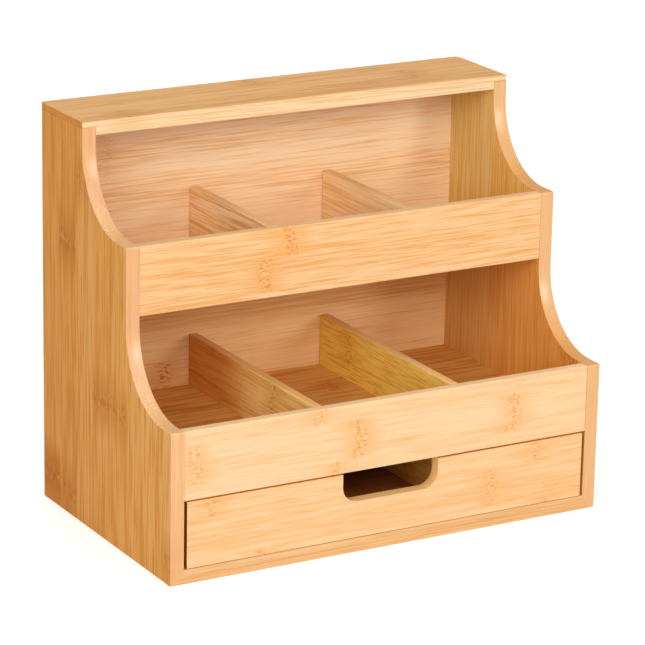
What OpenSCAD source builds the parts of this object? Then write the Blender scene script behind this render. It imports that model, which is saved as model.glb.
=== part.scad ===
// Two-tier tea organizer in bamboo board, with a full-width drawer under the tiers.
// Millimetres, +Z up, front towards -Y. The origin is the centre of the footprint on the floor.

/* [Case] */
// Overall width
case_w = 300; // [240:5:360]
// Depth of the top panel, front to back
top_d = 60; // [54:1:80]
// How far each tier stands out in front of the one above it
step_d = 59; // [54:1:80]
// Clear height of a tier, from its shelf to the board above
tier_h = 88; // [72:1:110]
// Clear height of the drawer bay
bay_h = 43; // [36:1:60]

/* [Boards] */
// Thickness of the two sides
side_t = 9; // [8:0.5:12]
// Thickness of the top panel
top_t = 9; // [8:0.5:12]
// Thickness of the base panel
base_t = 9; // [8:0.5:12]
// Thickness of the two shelves
shelf_t = 9; // [7:0.5:12]
// Thickness of the back panel
back_t = 9; // [6:0.5:12]
// Thickness of the lip that the top panel passes over the upper end of each side
lip_t = 4; // [3:0.5:5]
// Width of the lap at each end of the base, which lies in a rabbet inside the foot of a side
base_lap_w = 4.5; // [3:0.5:5.5]
// Thickness of that lap
base_lap_t = 6; // [4:0.5:7]
// Depth of the housings in the sides that take the shelf ends
housing_d = 3; // [2:0.5:4]
// Seam between the rear edge of a shelf and the back panel
seam = 0.4; // [0.2:0.1:0.8]

/* [Front boards and dividers] */
// Height of the board across the front of each tier
rail_h = 43; // [32:1:50]
// Thickness of that board
rail_t = 7; // [6:0.5:9]
// Thickness of the dividers
divider_t = 6; // [4:0.5:8]
// Depth of the grooves in the shelves that take the dividers
divider_groove_d = 2; // [1:0.5:3]

/* [Curves and edges] */
// Radius of the sweep that joins each step of a side to the tier above
sweep_r = 48; // [20:1:52]
// Radius of the two upright corners at the back, seen from above
corner_r = 4; // [1:0.5:6]
// Radius of the eased edges
edge_r = 1; // [0.5:0.1:1.5]

/* [Drawer] */
// Thickness of the drawer front
drawer_front_t = 7.5; // [7:0.5:10]
// Thickness of the drawer sides and back
drawer_wall_t = 6; // [5:0.5:8]
// How far the drawer sides stop short of the top of the drawer front
drawer_wall_drop = 3; // [1:0.5:6]
// Thickness of the lap at each end of the drawer front, which hides the end of a drawer side
drawer_lap_t = 4; // [3:0.5:5]
// Thickness of the drawer bottom
drawer_bottom_t = 4; // [3:0.5:5]
// Height of the drawer bottom above the lower edge of the drawer
drawer_bottom_lift = 2.5; // [2:0.5:5]
// Depth of the groove that takes the edge of the drawer bottom
drawer_groove_d = 2.5; // [2:0.5:3.5]
// Play of the drawer bottom in its groove
bottom_play = 0.1; // [0.05:0.05:0.2]

/* [Drawer clearances] */
// Gap at each side of the drawer
drawer_side_gap = 1.8; // [1:0.1:3]
// Gap above the drawer front
drawer_top_gap = 0.7; // [0.5:0.1:1.5]
// Gap below the drawer, where it slides on the base
drawer_floor_gap = 0.3; // [0.2:0.05:0.5]
// Gap behind the closed drawer
drawer_back_gap = 0.8; // [0.5:0.1:2]

/* [Finger notch] */
// Width of the notch in the top edge of the drawer front
notch_w = 67; // [50:1:90]
// Depth of the notch
notch_h = 18.5; // [12:0.5:24]
// Radius of the lower corners of the notch
notch_r = 10; // [4:0.5:12]

/* [Panel pins] */
// Length of a pin
pin_len = 20; // [16:1:24]
// Radius of a pin
pin_r = 0.7; // [0.6:0.05:0.9]
// Radius of the head of a pin
pin_head_r = 1.2; // [1:0.1:1.5]
// Thickness of the head of a pin
pin_head_t = 0.8; // [0.6:0.1:1]
// Length of the point of a pin
pin_point = 1.6; // [1:0.1:2]
// Clearance round a pin
pin_fit = 0.05; // [0.02:0.01:0.1]

/* [Hidden] */
$fn = 64;

// One overrun for every cut
over = 1;

// Heights of the case, from the floor up
bay_top = base_t + bay_h;
shelf_z = [bay_top, bay_top + shelf_t + tier_h];
rail_top = [shelf_z[0] + rail_h, shelf_z[1] + rail_h];
top_z = shelf_z[1] + shelf_t + tier_h;
case_h = top_z + top_t;

// Depths of the case, from the front back: the front plane of each tier and of the top panel
front_y = [0, step_d, 2 * step_d];
case_d = 2 * step_d + top_d;
back_y = case_d - back_t;

// Widths of the case, from the left side across
inner_w = case_w - 2 * side_t;
bay_w = (inner_w - 2 * divider_t) / 3;
divider_x = [side_t + bay_w, side_t + 2 * bay_w + divider_t];

// A sweep is limited by the step that it runs onto and by the height that it climbs
sweep = min(sweep_r, step_d - 2 * edge_r, shelf_z[1] - rail_top[0], case_h - lip_t - rail_top[1]);

// Drawer
drawer_x = side_t + drawer_side_gap;
drawer_z = base_t + drawer_floor_gap;
drawer_w = inner_w - 2 * drawer_side_gap;
drawer_d = back_y - drawer_back_gap;
drawer_front_h = bay_h - drawer_floor_gap - drawer_top_gap;
drawer_wall_h = drawer_front_h - drawer_wall_drop;
drawer_floor_z = drawer_z + drawer_bottom_lift + drawer_bottom_t + bottom_play;

// Places of the pins, as shares of the length that each row of them follows
side_pin_shares = [0.12, 0.37, 0.63, 0.88];
back_pin_shares = [0.08, 0.36, 0.64, 0.92];
drawer_side_pin_shares = [0.35, 0.8];
drawer_back_pin_shares = [0.2, 0.5, 0.8];

// Colours
honey = [0.93, 0.73, 0.49];
tan = [0.83, 0.61, 0.37];
straw = [0.89, 0.70, 0.46];
steel = [0.70, 0.71, 0.72];

// Moves what is drawn from the front left corner of the footprint to the frame of the part
module from_corner() {
    translate([-case_w / 2, -case_d / 2, 0]) children();
}

// Lays a flat outline upright, facing the side, and gives it a thickness along X
module along_x(length) {
    rotate([90, 0, 90]) linear_extrude(length) children();
}

// Lays a flat outline upright, facing the front, and gives it a thickness along Y
module along_y(length) {
    translate([0, length, 0]) rotate([90, 0, 0]) linear_extrude(length) children();
}

// What a round edge of radius r leaves over at the corner of an outline
module corner_waste(r) {
    difference() {
        translate([-over, -over]) square(r + over);
        translate([r, r]) circle(r);
    }
}

// Rectangle with radius r on the corners that are named: left or right, low or high
module eased_rect(w, h, r, corners = ["ll", "rl", "rh", "lh"]) {
    difference() {
        square([w, h]);
        for (corner = corners) {
            right = corner[0] == "r";
            high = corner[1] == "h";
            translate([right ? w : 0, high ? h : 0])
                mirror([right ? 1 : 0, 0]) mirror([0, high ? 1 : 0]) corner_waste(r);
        }
    }
}

// Footprint of the case, with its round upright corners at the back
module footprint() {
    eased_rect(case_w, case_d, corner_r, ["rh", "lh"]);
}

// Side of the case seen from the side: three columns, each with a sweep at its foot
module side_outline() {
    column_top = [rail_top[0], rail_top[1], case_h - lip_t];
    difference() {
        union() {
            for (i = [0:2])
                translate([front_y[i], 0]) square([case_d - front_y[i], column_top[i]]);
            for (i = [0, 1])
                translate([front_y[i + 1] - sweep, rail_top[i]]) difference() {
                    square([sweep + over, sweep]);
                    translate([0, sweep]) circle(sweep, $fn = 160);
                }
        }
        for (i = [0, 1])
            translate([front_y[i], rail_top[i]]) mirror([0, 1]) corner_waste(edge_r);
    }
}

// Shelf of one tier: it runs from behind the front board to the back panel
module shelf_blank(tier) {
    translate([side_t - housing_d, front_y[tier] + rail_t, shelf_z[tier]])
        cube([inner_w + 2 * housing_d, back_y - seam - front_y[tier] - rail_t, shelf_t]);
}

// Left side, drawn at the left end of the case
module side_board() {
    difference() {
        intersection() {
            along_x(side_t) side_outline();
            linear_extrude(case_h) footprint();
        }
        for (tier = [0, 1]) shelf_blank(tier);
        translate([side_t - base_lap_w, -over, -over])
            cube([base_lap_w + over, case_d + 2 * over, base_lap_t + over]);
        at_base_pins() pin_hole();
    }
}

module side_left() {
    color(tan) from_corner() side_board();
}

module side_right() {
    color(tan) mirror([1, 0, 0]) from_corner() side_board();
}

// Board that fits between the sides, with a thinner lap at each end that passes under them
module lapped_board(length, thickness, lap_w, lap_t) {
    along_y(length) union() {
        translate([side_t - lap_w, 0]) square([inner_w + 2 * lap_w, lap_t]);
        translate([side_t, 0]) square([inner_w, thickness]);
    }
}

// The top panel is a lapped board turned over, whose laps are as wide as the sides are thick
module top_panel() {
    color(straw) from_corner() intersection() {
        translate([0, case_d - top_d, case_h]) mirror([0, 0, 1]) lapped_board(top_d, top_t, side_t, lip_t);
        linear_extrude(case_h) footprint();
        translate([0, case_d - top_d, top_z]) along_x(case_w) eased_rect(top_d, top_t, edge_r, ["lh", "rh"]);
    }
}

module base_panel() {
    color(straw) from_corner() difference() {
        intersection() {
            lapped_board(case_d, base_t, base_lap_w, base_lap_t);
            linear_extrude(base_t) footprint();
        }
        at_base_pins() pin_hole();
    }
}

module back_panel() {
    color(straw) from_corner() difference() {
        translate([side_t, back_y, base_t]) cube([inner_w, back_t, top_z - base_t]);
        at_base_pins() pin_hole();
        at_back_pins() pin_hole();
    }
}

module shelf(tier) {
    color(straw) from_corner() difference() {
        shelf_blank(tier);
        for (x = divider_x)
            translate([x, front_y[tier] + rail_t - over, shelf_z[tier] + shelf_t - divider_groove_d])
                cube([divider_t, case_d, divider_groove_d + over]);
        at_back_pins() pin_hole();
    }
}

module lower_shelf() {
    shelf(0);
}

module upper_shelf() {
    shelf(1);
}

module front_board(tier) {
    color(honey) from_corner() translate([side_t, front_y[tier], shelf_z[tier]])
        along_x(inner_w) eased_rect(rail_t, rail_h, edge_r, ["lh", "rh"]);
}

module lower_front_board() {
    front_board(0);
}

module upper_front_board() {
    front_board(1);
}

// Divider of a tier: place 0 is the left one and place 1 the right one
module divider(tier, place) {
    foot_z = shelf_z[tier] + shelf_t - divider_groove_d;
    color(tan) from_corner() translate([divider_x[place], front_y[tier] + rail_t, foot_z])
        along_y(back_y - seam - front_y[tier] - rail_t)
            eased_rect(divider_t, rail_top[tier] - foot_z, edge_r, ["lh", "rh"]);
}

module lower_divider_left() {
    divider(0, 0);
}

module lower_divider_right() {
    divider(0, 1);
}

module upper_divider_left() {
    divider(1, 0);
}

module upper_divider_right() {
    divider(1, 1);
}

// Panel pin with its head at the origin, driven along +Z
module pin() {
    cylinder(h = pin_head_t, r = pin_head_r, $fn = 24);
    cylinder(h = pin_len - pin_point, r = pin_r, $fn = 24);
    translate([0, 0, pin_len - pin_point]) cylinder(h = pin_point, r1 = pin_r, r2 = pin_r / 4, $fn = 24);
}

// Hole that a panel pin fills
module pin_hole() {
    translate([0, 0, -over]) cylinder(h = over + pin_head_t + pin_fit, r = pin_head_r + pin_fit, $fn = 24);
    cylinder(h = pin_len + pin_fit, r = pin_r + pin_fit, $fn = 24);
}

// Pins driven up through the laps of the base into the sides, and through the base into the back panel
module at_base_pins() {
    lap_middle = side_t - base_lap_w / 2;
    for (x = [lap_middle, case_w - lap_middle], share = side_pin_shares)
        translate([x, share * back_y, 0]) children();
    for (share = back_pin_shares)
        translate([side_t + share * inner_w, back_y + back_t / 2, 0]) children();
}

// Pins driven forwards through the back panel into the rear edge of each shelf
module at_back_pins() {
    for (z = shelf_z, share = back_pin_shares)
        translate([side_t + share * inner_w, case_d, z + shelf_t / 2]) rotate([90, 0, 0]) children();
}

module base_pins() {
    color(steel) from_corner() at_base_pins() pin();
}

module back_pins() {
    color(steel) from_corner() at_back_pins() pin();
}

// Moves what is drawn from the lower left corner of the drawer front to its place in the case
module in_bay() {
    from_corner() translate([drawer_x, 0, drawer_z]) children();
}

// Notch for the fingers, cut down from the top edge of the drawer front
module finger_notch() {
    translate([(drawer_w - notch_w) / 2, drawer_front_h - notch_h])
        eased_rect(notch_w, notch_h + over, notch_r, ["ll", "rl"]);
}

// Space that the drawer bottom takes, with its play in the grooves
module bottom_slot() {
    translate([drawer_wall_t - drawer_groove_d, drawer_front_t - drawer_groove_d, drawer_bottom_lift])
        cube([drawer_w - 2 * drawer_wall_t + 2 * drawer_groove_d, drawer_d, drawer_bottom_t + 2 * bottom_play]);
}

// Pins driven through the drawer sides into the front and the back of the drawer
module at_drawer_side_pins() {
    for (y = [(drawer_lap_t + drawer_front_t) / 2, drawer_d - drawer_wall_t / 2])
        for (share = drawer_side_pin_shares) {
            translate([0, y, share * drawer_wall_h]) rotate([0, 90, 0]) children();
            translate([drawer_w, y, share * drawer_wall_h]) rotate([0, -90, 0]) children();
        }
}

// Pins driven up through the drawer bottom into the lower edge of the drawer back
module at_drawer_back_pins() {
    for (share = drawer_back_pin_shares)
        translate([share * drawer_w, drawer_d - drawer_wall_t / 2, drawer_bottom_lift + bottom_play])
            children();
}

module drawer_front() {
    color(honey) in_bay() difference() {
        along_y(drawer_front_t) difference() {
            eased_rect(drawer_w, drawer_front_h, edge_r);
            finger_notch();
        }
        for (x = [-over, drawer_w - drawer_wall_t])
            translate([x, drawer_lap_t, -over])
                cube([drawer_wall_t + over, drawer_front_t, drawer_front_h + 2 * over]);
        bottom_slot();
        at_drawer_side_pins() pin_hole();
    }
}

// Left side of the drawer
module drawer_side() {
    difference() {
        translate([0, drawer_lap_t, 0]) along_y(drawer_d - drawer_lap_t)
            eased_rect(drawer_wall_t, drawer_wall_h, edge_r, ["lh", "rh"]);
        bottom_slot();
        at_drawer_side_pins() pin_hole();
    }
}

module drawer_side_left() {
    color(tan) in_bay() drawer_side();
}

module drawer_side_right() {
    color(tan) mirror([1, 0, 0]) in_bay() drawer_side();
}

module drawer_back() {
    foot = drawer_floor_z - drawer_z;
    color(tan) in_bay() difference() {
        translate([drawer_wall_t, drawer_d - drawer_wall_t, foot])
            along_x(drawer_w - 2 * drawer_wall_t)
                eased_rect(drawer_wall_t, drawer_wall_h - foot, edge_r, ["lh", "rh"]);
        at_drawer_side_pins() pin_hole();
        at_drawer_back_pins() pin_hole();
    }
}

module drawer_bottom() {
    edge = drawer_groove_d - bottom_play;
    color(straw) in_bay() difference() {
        translate([drawer_wall_t - edge, drawer_front_t - edge, drawer_bottom_lift + bottom_play])
            cube([drawer_w - 2 * drawer_wall_t + 2 * edge, drawer_d - drawer_front_t + edge, drawer_bottom_t]);
        at_drawer_back_pins() pin_hole();
    }
}

// Divider of the drawer, in line with the dividers of the tiers
module drawer_divider(place) {
    foot = drawer_floor_z - drawer_z;
    color(tan) in_bay() translate([divider_x[place] - drawer_x, drawer_front_t, foot])
        along_y(drawer_d - drawer_front_t - drawer_wall_t)
            eased_rect(divider_t, drawer_wall_h - foot, edge_r, ["lh", "rh"]);
}

module drawer_divider_left() {
    drawer_divider(0);
}

module drawer_divider_right() {
    drawer_divider(1);
}

module drawer_pins() {
    color(steel) in_bay() {
        at_drawer_side_pins() pin();
        at_drawer_back_pins() pin();
    }
}

side_left();
side_right();
top_panel();
base_panel();
back_panel();
lower_shelf();
upper_shelf();
lower_front_board();
upper_front_board();
lower_divider_left();
lower_divider_right();
upper_divider_left();
upper_divider_right();
base_pins();
back_pins();
drawer_front();
drawer_side_left();
drawer_side_right();
drawer_back();
drawer_bottom();
drawer_divider_left();
drawer_divider_right();
drawer_pins();
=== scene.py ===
import math

import bpy
from mathutils import Matrix, Vector


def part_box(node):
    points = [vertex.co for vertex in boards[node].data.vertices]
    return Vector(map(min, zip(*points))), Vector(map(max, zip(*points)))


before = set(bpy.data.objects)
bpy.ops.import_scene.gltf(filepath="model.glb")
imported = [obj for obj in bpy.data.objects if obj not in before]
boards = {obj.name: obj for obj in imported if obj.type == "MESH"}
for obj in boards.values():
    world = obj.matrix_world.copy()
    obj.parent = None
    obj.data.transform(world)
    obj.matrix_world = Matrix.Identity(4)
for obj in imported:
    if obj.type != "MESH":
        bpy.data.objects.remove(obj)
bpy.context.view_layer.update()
print("frame loaded,", len(boards), "nodes")

mm = 0.001


def paint(red, green, blue):  # a colour as a screen shows it, 0 to 255, in the linear values of a socket
    return [((part / 255 + 0.055) / 1.055) ** 2.4 for part in (red, green, blue)] + [1.0]


class Wire:  # one output socket, so that shader maths reads as plain expressions
    def __init__(self, finish, socket):
        self.finish = finish
        self.socket = socket

    def maths(self, operation, *values):
        return self.finish.node("ShaderNodeMath", {"operation": operation}, dict(enumerate(values)))

    def __add__(self, other):
        return self.maths("ADD", self, other)

    def __radd__(self, other):
        return self.maths("ADD", other, self)

    def __sub__(self, other):
        return self.maths("SUBTRACT", self, other)

    def __rsub__(self, other):
        return self.maths("SUBTRACT", other, self)

    def __mul__(self, other):
        return self.maths("MULTIPLY", self, other)

    def __rmul__(self, other):
        return self.maths("MULTIPLY", other, self)

    def __abs__(self):
        return self.maths("ABSOLUTE", self)

    def floor(self):
        return self.maths("FLOOR", self)

    def larger(self, other):
        return self.maths("MAXIMUM", self, other)

    def ease(self, low, high, start=0.0, end=1.0):  # runs smoothly from start to end between low and high
        span = {"Value": self, "From Min": low, "From Max": high, "To Min": start, "To Max": end}
        return self.finish.node("ShaderNodeMapRange", {"interpolation_type": "SMOOTHSTEP"}, span)


class Finish:  # the node tree of one material, or of the world
    def __init__(self, owner):
        owner.use_nodes = True
        self.owner = owner
        self.tree = owner.node_tree
        self.tree.nodes.clear()

    def node(self, kind, settings=None, sockets=None, out=0):
        made = self.tree.nodes.new(kind)
        for name, value in (settings or {}).items():
            if name == "stops":
                self.setStops(made.color_ramp.elements, value)
            else:
                setattr(made, name, value)
        for name, value in (sockets or {}).items():
            if isinstance(value, Wire):
                self.tree.links.new(value.socket, made.inputs[name])
            else:
                made.inputs[name].default_value = value
        return Wire(self, made.outputs[out]) if made.outputs else made

    def setStops(self, elements, stops):
        while len(elements) < len(stops):
            elements.new(1.0)
        for element, (place, colour) in zip(elements, stops):
            element.position = place
            element.color = colour

    def join(self, x, y, z):
        return self.node("ShaderNodeCombineXYZ", None, {0: x, 1: y, 2: z})

    def split(self, vector):
        return [self.node("ShaderNodeSeparateXYZ", None, {0: vector}, out) for out in range(3)]

    def whereInMm(self):  # x, y and z of a point of the piece at rest
        sockets = {0: self.node("ShaderNodeTexCoord", out="Object"), "Scale": 1 / mm}
        return self.split(self.node("ShaderNodeVectorMath", {"operation": "SCALE"}, sockets))

    def noise(self, kind, x, y, z):
        detail, roughness = noises[kind]
        sockets = {"Vector": self.join(x, y, z), "Scale": 1.0, "Detail": detail, "Roughness": roughness}
        return self.node("ShaderNodeTexNoise", None, sockets)

    def mix(self, factor, first, second):
        return self.node("ShaderNodeMix", {"data_type": "RGBA"}, {0: factor, 6: first, 7: second}, 2)

    def shade(self, factor, colour, shares):
        kind = {"data_type": "RGBA", "blend_type": "MULTIPLY"}
        return self.node("ShaderNodeMix", kind, {0: factor, 6: colour, 7: shares}, 2)

    def putOn(self, name, shader):  # ends the tree in this shader and puts it on a node of the frame
        self.node("ShaderNodeOutputMaterial", None, {"Surface": shader})
        boards[name].data.materials.clear()
        boards[name].data.materials.append(self.owner)


# Camera, at the photograph's view

camera = {
    "place": (-0.9767, -1.7011, 0.7264),
    "aim": (-0.0005, -0.0029, 0.1186),
    "roll": 1.105,          # degrees
    "lens": 184.2,          # mm
    "sensor": 36.0,         # mm from side to side
}


def placeCamera():
    data = bpy.data.cameras.new("camera")
    data.sensor_fit = "HORIZONTAL"
    data.sensor_width = camera["sensor"]
    data.lens = camera["lens"]
    made = bpy.data.objects.new("camera", data)
    bpy.context.scene.collection.objects.link(made)
    back = Vector(camera["place"]) - Vector(camera["aim"])
    roll = Matrix.Rotation(math.radians(camera["roll"]), 3, "Z")
    turn = back.to_track_quat("Z", "Y").to_matrix() @ roll
    made.matrix_world = Matrix.Translation(camera["place"]) @ turn.to_4x4()
    bpy.context.scene.camera = made


placeCamera()
print("camera placed")


# Studio: soft lamps, a white world and a pale floor

studio = {
    "world": 0.30,          # light from all round, where 1 shows a colour as it is written
    "middle": (0, 0, 0.12),
    "lamps": {
        "front lamp": {"place": (-0.30, -2.22, 1.45), "width": 1.0, "level": 0.29, "matt": True},
        "right lamp": {"place": (1.15, -2.05, 0.80), "width": 0.5, "height": 0.9, "level": 0.20},
        "left lamp": {"place": (-1.90, -1.55, 1.10), "width": 1.6, "level": 0.38},
        "top lamp": {"place": (0.3, 0.2, 2.6), "width": 1.5, "level": 0.14},
        "back lamp": {"place": (0.9, 2.4, 0.9), "width": 1.6, "level": 0.30, "matt": True},
    },
    "floorWidth": 12.0,
    "floorColour": paint(232, 232, 232),
    "floorGlow": 0.53,      # only for rays that look at it, so the floor is white and keeps its shadow
}


def placeLamp(name, lamp):
    data = bpy.data.lights.new(name, "AREA")
    data.shape = "RECTANGLE"
    data.size = lamp["width"]
    data.size_y = lamp.get("height", lamp["width"])
    made = bpy.data.objects.new(name, data)
    bpy.context.scene.collection.objects.link(made)
    made.visible_glossy = not lamp.get("matt")          # a matt lamp leaves no glare
    reach = Vector(studio["middle"]) - Vector(lamp["place"])
    # at a level of 1, what faces the lamp shows its colour as it is written
    data.energy = lamp["level"] * (math.pi * reach.length) ** 2
    turn = reach.to_track_quat("-Z", "Y").to_matrix()
    made.matrix_world = Matrix.Translation(lamp["place"]) @ turn.to_4x4()


def lookedAt(finish):  # 1 for a ray from the camera, or one that glossy or clear surfaces pass on
    rays = [finish.node("ShaderNodeLightPath", out=name)
            for name in ("Is Camera Ray", "Is Glossy Ray", "Is Transmission Ray")]
    return rays[0].larger(rays[1]).larger(rays[2])


def lightWorld():
    world = bpy.data.worlds.new("studio")
    bpy.context.scene.world = world
    finish = Finish(world)
    level = lookedAt(finish).ease(0, 1, studio["world"], 1.0)
    light = finish.node("ShaderNodeBackground", None, {"Color": paint(255, 255, 255), "Strength": level})
    finish.node("ShaderNodeOutputWorld", None, {"Surface": light})


def layFloor():
    bpy.ops.mesh.primitive_plane_add(size=studio["floorWidth"])
    floor = bpy.context.object
    floor.name = "floor"
    finish = Finish(bpy.data.materials.new("floor"))
    plain = finish.node("ShaderNodeBsdfDiffuse", None, {"Color": studio["floorColour"]})
    glow = finish.node("ShaderNodeEmission", None, {"Strength": studio["floorGlow"] * lookedAt(finish)})
    both = finish.node("ShaderNodeAddShader", None, {0: plain, 1: glow})
    finish.node("ShaderNodeOutputMaterial", None, {"Surface": both})
    floor.data.materials.append(finish.owner)


for name, lamp in studio["lamps"].items():
    placeLamp(name, lamp)
lightWorld()
layFloor()
bpy.context.scene.view_settings.view_transform = "Standard"
print("studio lit")


# Bamboo. Lengths here are in mm, and colours are as a screen shows them

grainLook = {
    "wander": 2.0,                      # how far a line of the grain strays sideways
    "wanderFine": (0.004, 0.02, 0.02),  # how fast that changes along, across and through a board, per mm
    "sawnThrough": 2.5,                 # how much finer the grain is through a board than across its face
    "stops": (0.18, 0.38, 0.50, 0.76),  # where the deep, red, plain and pale colours lie, from dark to light
    "stripTone": 0.3,                   # how much the strips that a board is glued from differ
    "poresFine": (0.9, 0.9, 1.5),       # how fast the pores at a board's ends change, per mm
    "pores": (0.50, 0.66),              # between which values of their noise they open
    "poreShare": 0.4,
    "edgeTurn": (0.4, 0.8),             # how far a surface turns before it counts as an edge
    "endTurn": (0.15, 0.95),            # and as an end
    "heartBlend": 1.0,                  # half the depth over which the tone of an inner face ends
}

noises = {  # the detail and the roughness of each noise
    "bands": (1.0, 0.5), "streaks": (3.0, 0.75), "hairs": (2.0, 0.6), "dashes": (2.0, 0.6),
    "wander": (1.0, 0.5), "swirl": (1.0, 0.5), "stray": (1.5, 0.5), "pores": (1.0, 0.5), "steel": (2.0, 0.5),
}

knuckleLook = {
    "stray": 15.0,                      # how far a knuckle's line strays along the grain
    "strayFine": (0.07, 0.004),         # how fast that changes across the grain and along it, per mm
    "core": 0.2,                        # the share of its reach in which a knuckle shows in full
    "stripEnds": (0.54, 0.44),          # how far from its strip's middle it starts and is full, in strips
    "haloReach": 3.0,                   # the reach of the halo, in reaches of the knuckle
    "swirlFine": (0.10, 0.16, 0.1),     # how fast the swirl changes along, across and through a board, per mm
    "swirlGrain": 2.0,                  # how far the swirl round a knuckle moves the grain
    "swirlDashes": 3.0,                 # and the dashes in it
    "dark": (0.49, 0.60),               # between which values of their noise the dashes turn dark
    "light": (0.44, 0.34),              # and between which they turn pale
    "lightShare": 0.5,
}

varnish = {
    "mirror": 0.05,                     # how strongly the satin varnish mirrors, where 0.5 is plain gloss
    "roughness": (0.36, 0.50),
    "roughnessHairs": 0.3,              # how deep the hairs are where the roughness reaches these ends
    "coatRoughness": 0.33,
    "coatIor": 1.8,
    "bumpDepth": 0.12,
    "bumpStrength": 0.6,
    "relief": {"streaks": 0.5, "hairs": 0.4, "knuckles": 0.3},
}

# How far apart the boards lie in each noise, so that no two are alike
seedSteps = {"knuckles": 3.7, "lines": 37.0, "strips": 5.3}

# What holds where neither the cut nor the board says otherwise: the depth of the grain, how plain the sawn
# edges and ends are, how glossy the edges are, and no fades and no painted shade of a gap
plainLook = {"depth": 1.0, "calm": 0.6, "coat": 0.0, "fades": [], "rim": None}

# How each kind of board is sawn. Bands, streaks and hairs are the layers of its grain: how fast each
# changes along the grain and across it, per mm, and how much it counts. Deep, red, pale, mark and halo are
# the shares of the face's red, green and blue that these tones keep
cuts = {
    "side": {
        "grain": "z", "across": "y", "strip": 23.3, "dash": (0.20, 0.38), "reach": 9.0, "coat": 1.0,
        "bands": (0.0025, 0.055, 0.6), "streaks": (0.004, 0.20, 1.3), "hairs": (0.02, 0.55, 2.6),
        "deep": (0.84, 0.66, 0.30), "red": (0.95, 0.83, 0.62), "pale": (1.08, 1.20, 1.75),
        "mark": (0.66, 0.40, 0.06), "markShare": 0.8, "halo": (0.76, 0.55, 0.18), "haloShare": 0.65,
    },
    "front": {
        "grain": "x", "across": "z", "strip": 25.1, "dash": (0.36, 0.80), "reach": 6.5,
        "bands": (0.004, 0.09, 0.45), "streaks": (0.009, 0.32, 0.8), "hairs": (0.030, 0.95, 1.4),
        "deep": (0.93, 0.72, 0.46), "red": (0.97, 0.86, 0.72), "pale": (1.03, 1.11, 1.24),
        "mark": (0.91, 0.57, 0.26), "markShare": 0.75, "halo": (0.95, 0.76, 0.50), "haloShare": 0.4,
    },
    "panel": {
        "grain": "x", "across": "y", "strip": 21.5, "dash": (0.25, 0.60), "reach": 6.5,
        "bands": (0.003, 0.07, 0.5), "streaks": (0.005, 0.26, 1.5), "hairs": (0.03, 0.75, 1.5),
        "deep": (0.82, 0.64, 0.42), "red": (0.95, 0.85, 0.72), "pale": (1.06, 1.14, 1.28),
        "mark": (0.66, 0.40, 0.18), "markShare": 0.7, "halo": (0.82, 0.62, 0.38), "haloShare": 0.4,
    },
    "divider": {
        "grain": "y", "across": "z", "strip": 20.0, "dash": (0.25, 0.60), "reach": 6.0,
        "bands": (0.003, 0.09, 0.6), "streaks": (0.006, 0.32, 1.5), "hairs": (0.03, 0.9, 1.6),
        "deep": (0.82, 0.64, 0.42), "red": (0.95, 0.85, 0.72), "pale": (1.06, 1.14, 1.28),
        "mark": (0.66, 0.40, 0.18), "markShare": 0.7, "halo": (0.82, 0.62, 0.38), "haloShare": 0.4,
    },
}
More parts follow.
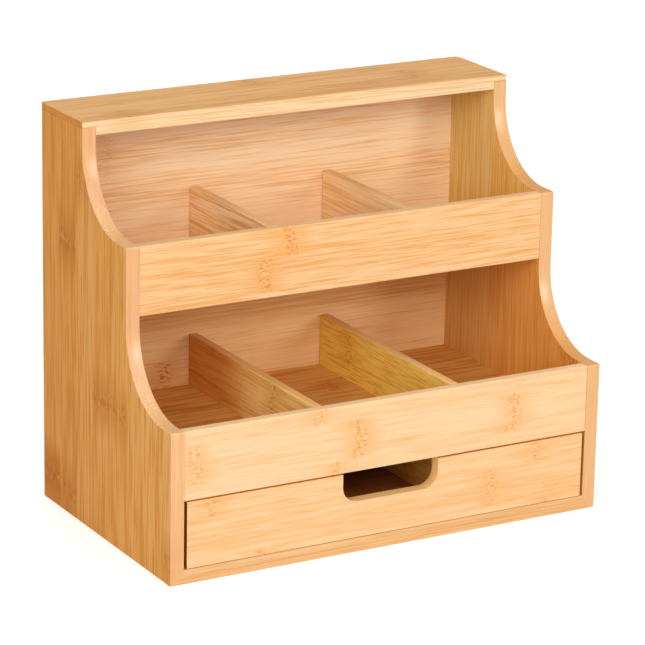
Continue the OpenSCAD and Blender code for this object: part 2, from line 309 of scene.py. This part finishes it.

# A knuckle is its place along the grain and across it, and how strongly it shows. A fade is the part of
# the board that changes its tone, the way it runs in, where it starts and stops, and the shares of red,
# green and blue that are left where it stops. Some fades are painted light and shade, as said at each board
pieces = {
    "side_left": {
        # Its end colour is the end grain with a painted sheen: paler on the lower part of the sweeps, for a
        # soft highlight there
        "cut": "side", "face": (238, 172, 86), "edge": (232, 174, 110), "end": (245, 197, 146),
        "fades": [
            ("face", "y", -40.0, 60.0, (0.92, 0.82, 0.62)),
            ("edge", "z", 95.0, 150.0, (0.95, 0.89, 0.80)),
        ],
        "stripEdge": 15.0, "knuckles": [
            (88, 4, 0.9), (87, -19, 0.8), (20, 72, 1.5), (15, 50, 0.8), (13, -80, 0.7), (222, 30, 0.4),
            (176, 52, 0.9),
        ],
    },
    "side_right": {
        "cut": "side", "depth": 0.5, "streaks": (0.004, 0.35, 1.0), "hairs": (0.02, 0.9, 3.6),
        "face": (240, 176, 92), "edge": (228, 171, 104), "end": (231, 172, 105),
        "deep": (0.88, 0.74, 0.50), "pale": (1.04, 1.10, 1.30),
        # Painted light and shade: the inner face is paler than the outer one, darker below the upper shelf,
        # and changes its hue from front to back, as the light falls inside the case
        "fades": [
            ("inside", "x", 150.0, 142.0, (1.10, 1.33, 1.42)),
            ("inside", "z", 156.0, 148.0, (0.96, 0.74, 0.66)),
            ("inside", "y", -20.0, 60.0, (0.83, 1.00, 1.35)),
        ],
        "stripEdge": 15.0, "knuckles": [(97, -76, 0.7), (40, -40, 0.7), (25, 55, 0.7)],
    },
    "top_panel": {
        "cut": "panel", "streaks": (0.006, 0.20, 1.1), "hairs": (0.024, 0.55, 1.9), "calm": 0.3,
        "face": (238, 181, 110), "edge": (243, 208, 160), "end": (226, 150, 68), "markShare": 0.5,
        "stripEdge": 47.0, "knuckles": [(-10, 78, 1.0), (94, 60, 1.0), (-118, 38, 1.0)],
    },
    "base_panel": {
        "cut": "panel", "calm": 0.2,
        "face": (236, 184, 124), "edge": (234, 187, 132), "end": (233, 178, 118),
        "stripEdge": 0.0, "knuckles": [(-60, -80, 1.0), (70, 30, 1.0), (-20, 10, 1.0), (110, -30, 1.0)],
    },
    "back_panel": {
        "cut": "front", "bands": (0.003, 0.06, 0.9), "streaks": (0.006, 0.26, 0.8),
        "hairs": (0.022, 0.8, 1.3), "dash": (0.22, 1.0), "reach": 8.0,
        "face": (253, 221, 178), "edge": (240, 196, 144), "end": (236, 189, 136),
        "deep": (0.80, 0.64, 0.48), "red": (0.94, 0.84, 0.72),
        "mark": (0.62, 0.36, 0.18), "markShare": 0.85,
        "fades": [
            # painted shade: the inner face is darker below the upper shelf, which shades it
            ("inside", "z", 158.0, 149.0, (1.0, 0.90, 0.69)),
            ("face", "y", 82.0, 87.0, (0.98, 0.88, 0.72)),
        ],
        "stripEdge": 3.0, "knuckles": [(-68, 69, 1.2), (-112, 205, 0.5), (100, 130, 0.7), (-30, 30, 0.7)],
    },
    "lower_shelf": {
        "cut": "panel", "streaks": (0.005, 0.13, 3.0), "hairs": (0.02, 0.32, 4.0),
        "face": (224, 165, 88), "edge": (224, 167, 104), "end": (222, 166, 104),
        "stripEdge": 5.0, "knuckles": [(30, 40, 1.0), (-60, -10, 1.0), (70, 60, 1.0)],
    },
    "upper_shelf": {
        "cut": "panel", "streaks": (0.005, 0.13, 3.0), "hairs": (0.02, 0.32, 4.0),
        "face": (224, 166, 94), "edge": (225, 169, 106), "end": (223, 167, 106),
        "stripEdge": 5.0, "knuckles": [(-20, 40, 1.0), (90, 10, 1.0)],
    },
    "lower_front_board": {
        "cut": "front", "depth": 0.45, "haloShare": 0.8,
        "face": (246, 205, 157), "edge": (250, 213, 164), "end": (242, 194, 140),
        "stripEdge": 60.3, "knuckles": [
            (-133, 73, 1.2), (-23, 73, 1.6), (-37.4, 56, 1.0), (86, 73, 1.3), (-48, 90, 1.0),
        ],
    },
    "upper_front_board": {
        "cut": "front", "bands": (0.004, 0.09, 0.4), "streaks": (0.009, 0.30, 0.75),
        "hairs": (0.028, 0.95, 2.2),
        "face": (244, 194, 138), "edge": (248, 202, 148), "end": (241, 190, 132),
        "strip": 20.5, "stripEdge": 173.7, "knuckles": [(-39, 184, 1.5), (-56, 164, 1.6)],
    },
    "lower_divider_left": {
        "cut": "divider", "face": (232, 168, 84), "edge": (242, 188, 120), "end": (228, 174, 111),
        "fades": [("face", "y", 38.0, -18.0, (1.26, 1.80, 2.8))],
        "stripEdge": 76.0, "knuckles": [(-32, 85, 1.0)],
    },
    "lower_divider_right": {
        "cut": "divider", "hairs": (0.05, 0.95, 2.4),
        "face": (254, 216, 104), "edge": (250, 202, 136), "end": (238, 190, 124),
        "stripEdge": 72.0, "knuckles": [(40, 84, 1.0)],
    },
    "upper_divider_left": {
        "cut": "divider", "face": (252, 218, 166), "edge": (241, 195, 135), "end": (236, 187, 126),
        "stripEdge": 173.0, "knuckles": [(10, 165, 1.0)],
    },
    "upper_divider_right": {
        "cut": "divider", "face": (252, 222, 172), "edge": (241, 196, 136), "end": (236, 188, 126),
        "stripEdge": 176.0, "knuckles": [(-8, 166, 1.0)],
    },
    "drawer_front": {
        "cut": "front", "depth": 0.8,
        "face": (246, 200, 148), "edge": (255, 208, 137), "end": (255, 206, 136),
        "rim": {"deep": 0.25, "edge": (222, 140, 60), "end": (140, 80, 32)},    # painted shade: the skin that faces the gap is darker, standing in for the shadow in the gap
        "stripEdge": 13.9, "knuckles": [
            (104, 44, 1.0), (69.5, 26, 1.0), (110, 10, 1.0), (-122, 45, 1.0), (-89, 12, 1.0),
        ],
    },
    "drawer_side_left": {
        "cut": "divider", "face": (230, 172, 106), "edge": (234, 182, 120), "end": (227, 172, 109),
        "stripEdge": 27.0, "knuckles": [(-20, 36, 1.0), (50, 18, 1.0)],
    },
    "drawer_side_right": {
        "cut": "divider", "face": (230, 172, 106), "edge": (234, 182, 120), "end": (227, 172, 109),
        "stripEdge": 30.0, "knuckles": [(30, 36, 1.0), (-50, 20, 1.0)],
    },
    "drawer_back": {
        "cut": "front", "face": (230, 172, 106), "edge": (234, 182, 120), "end": (227, 172, 109),
        "stripEdge": 30.0, "knuckles": [(-70, 38, 1.0), (60, 24, 1.0)],
    },
    "drawer_bottom": {
        # painted shade: darker than the other drawer boards, for the deep shade inside the drawer seen
        # through the finger notch
        "cut": "panel", "face": (172, 108, 52), "edge": (190, 130, 72), "end": (186, 126, 70),
        "stripEdge": -3.0, "knuckles": [(-90, 20, 1.0), (40, -50, 1.0), (10, 60, 1.0)],
    },
    "drawer_divider_left": {
        "cut": "divider", "face": (234, 168, 86), "edge": (225, 170, 106), "end": (220, 164, 100),
        "stripEdge": 32.0, "knuckles": [(20, 40, 1.0)],
    },
    "drawer_divider_right": {
        "cut": "divider", "face": (238, 168, 82), "edge": (225, 170, 106), "end": (220, 164, 100),
        "stripEdge": 30.0, "knuckles": [(-30, 22, 1.0)],
    },
}


def tint(colour, shares):  # what is left of a colour's red, green and blue
    return [part * share for part, share in zip(paint(*colour), shares)] + [1.0]


def against(colour, other):  # the shares of red, green and blue that turn the other colour into this one
    return [part / whole for part, whole in zip(paint(*colour)[:3], paint(*other))] + [1.0]


def reachOf(name, way):  # where a board starts and stops in x, y or z
    return [corner["xyz".index(way)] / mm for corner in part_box(name)]


class Board:  # where a point of one board lies, and which kind of surface it is on
    def __init__(self, finish, name, look):
        self.name = name
        self.ways = dict(zip("xyz", finish.whereInMm()))
        faces = dict(zip("xyz", finish.split(finish.node("ShaderNodeTexCoord", out="Normal"))))
        thick = ({"x", "y", "z"} - {look["grain"], look["across"]}).pop()
        self.along = self.ways[look["grain"]]
        self.across = self.ways[look["across"]]
        self.inward = self.ways[thick]
        self.heart = abs(sum(reachOf(name, thick))) / 2     # how far its middle lies from the case's middle
        self.edge = abs(faces[look["across"]]).ease(*grainLook["edgeTurn"])
        self.end = abs(faces[look["grain"]]).ease(*grainLook["endTurn"])
        self.sawn = self.edge.larger(self.end)

    def part(self, kind):  # 1 on the edges, on both faces, or on the face that looks into the case
        if kind == "edge":
            return self.edge
        faces = 1 - self.sawn
        if kind == "inside":
            blend = grainLook["heartBlend"]
            return faces * abs(self.inward).ease(self.heart + blend, self.heart - blend)
        return faces

    def rim(self, way, deep):  # 1 on the outermost skin of the board at both ends of one way, where the shade of a gap is painted
        low, high = reachOf(self.name, way)
        return abs(self.ways[way] - (low + high) / 2).ease((high - low) / 2 - deep, (high - low - deep) / 2)


def markKnuckles(finish, board, look, seed, reach):  # 1 inside a knuckle, which spans its own strip
    fineAcross, fineAlong = knuckleLook["strayFine"]
    sideways = seedSteps["knuckles"] * seed
    stray = finish.noise("stray", board.across * fineAcross, board.along * fineAlong, sideways) - 0.5
    line = board.along + stray * knuckleLook["stray"]
    strip = look["strip"]
    outer, inner = (share * strip for share in knuckleLook["stripEnds"])
    marks = None
    for place, height, strength in look["knuckles"]:
        middle = look["stripEdge"] + (math.floor((height - look["stripEdge"]) / strip) + 0.5) * strip
        mark = abs(line - place).ease(reach, knuckleLook["core"] * reach, 0.0, strength)
        mark = mark * abs(board.across - middle).ease(outer, inner)
        marks = marks.larger(mark) if marks else mark
    return marks


def drift(finish, board, kind, fine, seed):  # a soft change over the board, above and below nought
    fineAlong, fineAcross, fineInward = fine
    inward = board.inward * fineInward + seed
    return finish.noise(kind, board.along * fineAlong, board.across * fineAcross, inward) - 0.5


def layGrain(finish, board, look, line, kind):  # one layer of the grain, above and below nought
    lengthwise, crosswise, share = look[kind]
    through = board.inward * (crosswise * grainLook["sawnThrough"])
    return (finish.noise(kind, board.along * lengthwise, line * crosswise, through) - 0.5) * share


def colourGrain(finish, board, look, tone, seed):  # the grain's tone as a colour, strip by strip
    deep, red, pale = (tint(look["face"], look[shares]) for shares in ("deep", "red", "pale"))
    stops = list(zip(grainLook["stops"], (deep, red, paint(*look["face"]), pale)))
    colour = finish.node("ShaderNodeValToRGB", {"stops": stops}, {0: tone})
    row = ((board.across - look["stripEdge"]) * (1 / look["strip"])).floor() + seedSteps["strips"] * seed
    stripTone = finish.node("ShaderNodeTexWhiteNoise", {"noise_dimensions": "1D"}, {"W": row})
    return finish.mix(stripTone * (grainLook["stripTone"] * look["depth"]), colour, red)


def colourKnuckles(finish, look, colour, near, knuckle, dashes, dark):  # a halo, with dark and pale dashes
    pale, mark, halo = (tint(look["face"], look[shares]) for shares in ("pale", "mark", "halo"))
    colour = finish.mix(near * (look["haloShare"] * look["depth"]), colour, halo)
    colour = finish.mix(dark * look["markShare"], colour, mark)
    light = knuckle * dashes.ease(*knuckleLook["light"])
    return finish.mix(light * knuckleLook["lightShare"], colour, pale)


def colourSawn(finish, board, look, colour):  # calmer grain and other tones on the edges and the ends
    fineAlong, fineAcross, fineInward = grainLook["poresFine"]
    inward = board.inward * fineInward
    pores = finish.noise("pores", board.along * fineAlong, board.across * fineAcross, inward)
    openPores = board.end * pores.ease(*grainLook["pores"])
    colour = finish.mix(board.sawn * look["calm"], colour, paint(*look["face"]))
    colour = finish.shade(board.edge * (1 - board.end), colour, against(look["edge"], look["face"]))
    colour = finish.shade(board.end, colour, against(look["end"], look["face"]))
    return finish.mix(openPores * grainLook["poreShare"], colour, tint(look["end"], look["deep"]))


def fadeBoard(finish, board, look, colour):  # slow changes of tone, some of them painted light and shade, and the painted shade of a gap on the skin of a board
    for part, way, start, stop, shares in look["fades"]:
        fade = board.ways[way].ease(start, stop) * board.part(part)
        colour = finish.shade(fade, colour, [*shares, 1.0])
    rim = look["rim"]
    if rim:
        for part, way in (("edge", look["across"]), ("end", look["grain"])):
            colour = finish.mix(board.rim(way, rim["deep"]), colour, paint(*rim[part]))
    return colour


def bamboo(name, seed):
    look = plainLook | cuts[pieces[name]["cut"]] | pieces[name]
    finish = Finish(bpy.data.materials.new("bamboo " + name))
    board = Board(finish, name, look)

    knuckle = markKnuckles(finish, board, look, seed, look["reach"]) * (1 - board.sawn)
    near = markKnuckles(finish, board, look, seed, knuckleLook["haloReach"] * look["reach"])
    swirl = drift(finish, board, "swirl", knuckleLook["swirlFine"], seed) * near
    wander = drift(finish, board, "wander", grainLook["wanderFine"], seed) * grainLook["wander"]
    line = board.across + wander + swirl * knuckleLook["swirlGrain"] + seedSteps["lines"] * seed
    layers = ("bands", "streaks", "hairs")
    bands, streaks, hairs = (layGrain(finish, board, look, line, kind) for kind in layers)
    dashAlong, dashAcross = look["dash"]
    dashLine = (line + swirl * knuckleLook["swirlDashes"]) * dashAcross
    dashes = finish.noise("dashes", board.along * dashAlong, dashLine, board.inward + seed)
    dark = knuckle * dashes.ease(*knuckleLook["dark"])

    tone = (bands + streaks + hairs) * look["depth"] + 0.5
    colour = colourGrain(finish, board, look, tone, seed)
    colour = colourKnuckles(finish, look, colour, near, knuckle, dashes, dark)
    colour = colourSawn(finish, board, look, colour)
    colour = fadeBoard(finish, board, look, colour)

    share = varnish["relief"]
    relief = streaks * share["streaks"] + hairs * share["hairs"] - dark * share["knuckles"]
    bump = finish.node("ShaderNodeBump", None, {
        "Strength": varnish["bumpStrength"], "Distance": varnish["bumpDepth"] * mm, "Height": relief})
    turn = varnish["roughnessHairs"]
    finish.putOn(name, finish.node("ShaderNodeBsdfPrincipled", None, {
        "Base Color": colour, "Roughness": hairs.ease(-turn, turn, *varnish["roughness"]), "Normal": bump,
        "Specular IOR Level": varnish["mirror"], "Coat IOR": varnish["coatIor"],
        "Coat Weight": board.edge * look["coat"] if look["coat"] else 0.0,
        "Coat Roughness": varnish["coatRoughness"]}))
    print("bamboo on", name)


for seed, name in enumerate(pieces, 1):
    bamboo(name, seed)


# Panel pins

pinSteel = {
    "light": paint(190, 190, 192),
    "dark": paint(150, 150, 154),
    "marksFine": 4.0,               # the marks of the drawing, per mm
    "marks": (0.3, 0.7),            # between which values of their noise the roughness changes
    "roughness": (0.3, 0.44),
    "bumpDepth": 0.02,              # mm
    "bumpStrength": 0.3,
}


def steel(name):
    finish = Finish(bpy.data.materials.new("steel " + name))
    marks = finish.noise("steel", *(way * pinSteel["marksFine"] for way in finish.whereInMm()))
    bump = finish.node("ShaderNodeBump", None, {
        "Strength": pinSteel["bumpStrength"], "Distance": pinSteel["bumpDepth"] * mm, "Height": marks})
    finish.putOn(name, finish.node("ShaderNodeBsdfPrincipled", None, {
        "Base Color": finish.mix(marks, pinSteel["light"], pinSteel["dark"]), "Metallic": 1.0,
        "Roughness": marks.ease(*pinSteel["marks"], *pinSteel["roughness"]), "Normal": bump}))


for name in ("base_pins", "back_pins", "drawer_pins"):
    steel(name)
print("steel on the pins")


# Eased edges

easing = {
    "width": 0.5,           # mm
    "segments": 3,
    "sharperThan": 40,      # degrees
    "flatWithin": 0.5,      # degrees, for joining the triangles of a flat face
    "weld": 0.001,          # mm, for joining points that lie in one place
}


def easeEdges(board):
    weld = board.modifiers.new("weld", "WELD")
    weld.merge_threshold = easing["weld"] * mm
    flats = board.modifiers.new("flats", "DECIMATE")
    flats.decimate_type = "DISSOLVE"
    flats.angle_limit = math.radians(easing["flatWithin"])
    bevel = board.modifiers.new("bevel", "BEVEL")
    bevel.width = easing["width"] * mm
    bevel.segments = easing["segments"]
    bevel.limit_method = "ANGLE"
    bevel.angle_limit = math.radians(easing["sharperThan"])


for name in pieces:
    easeEdges(boards[name])
print("edges eased")
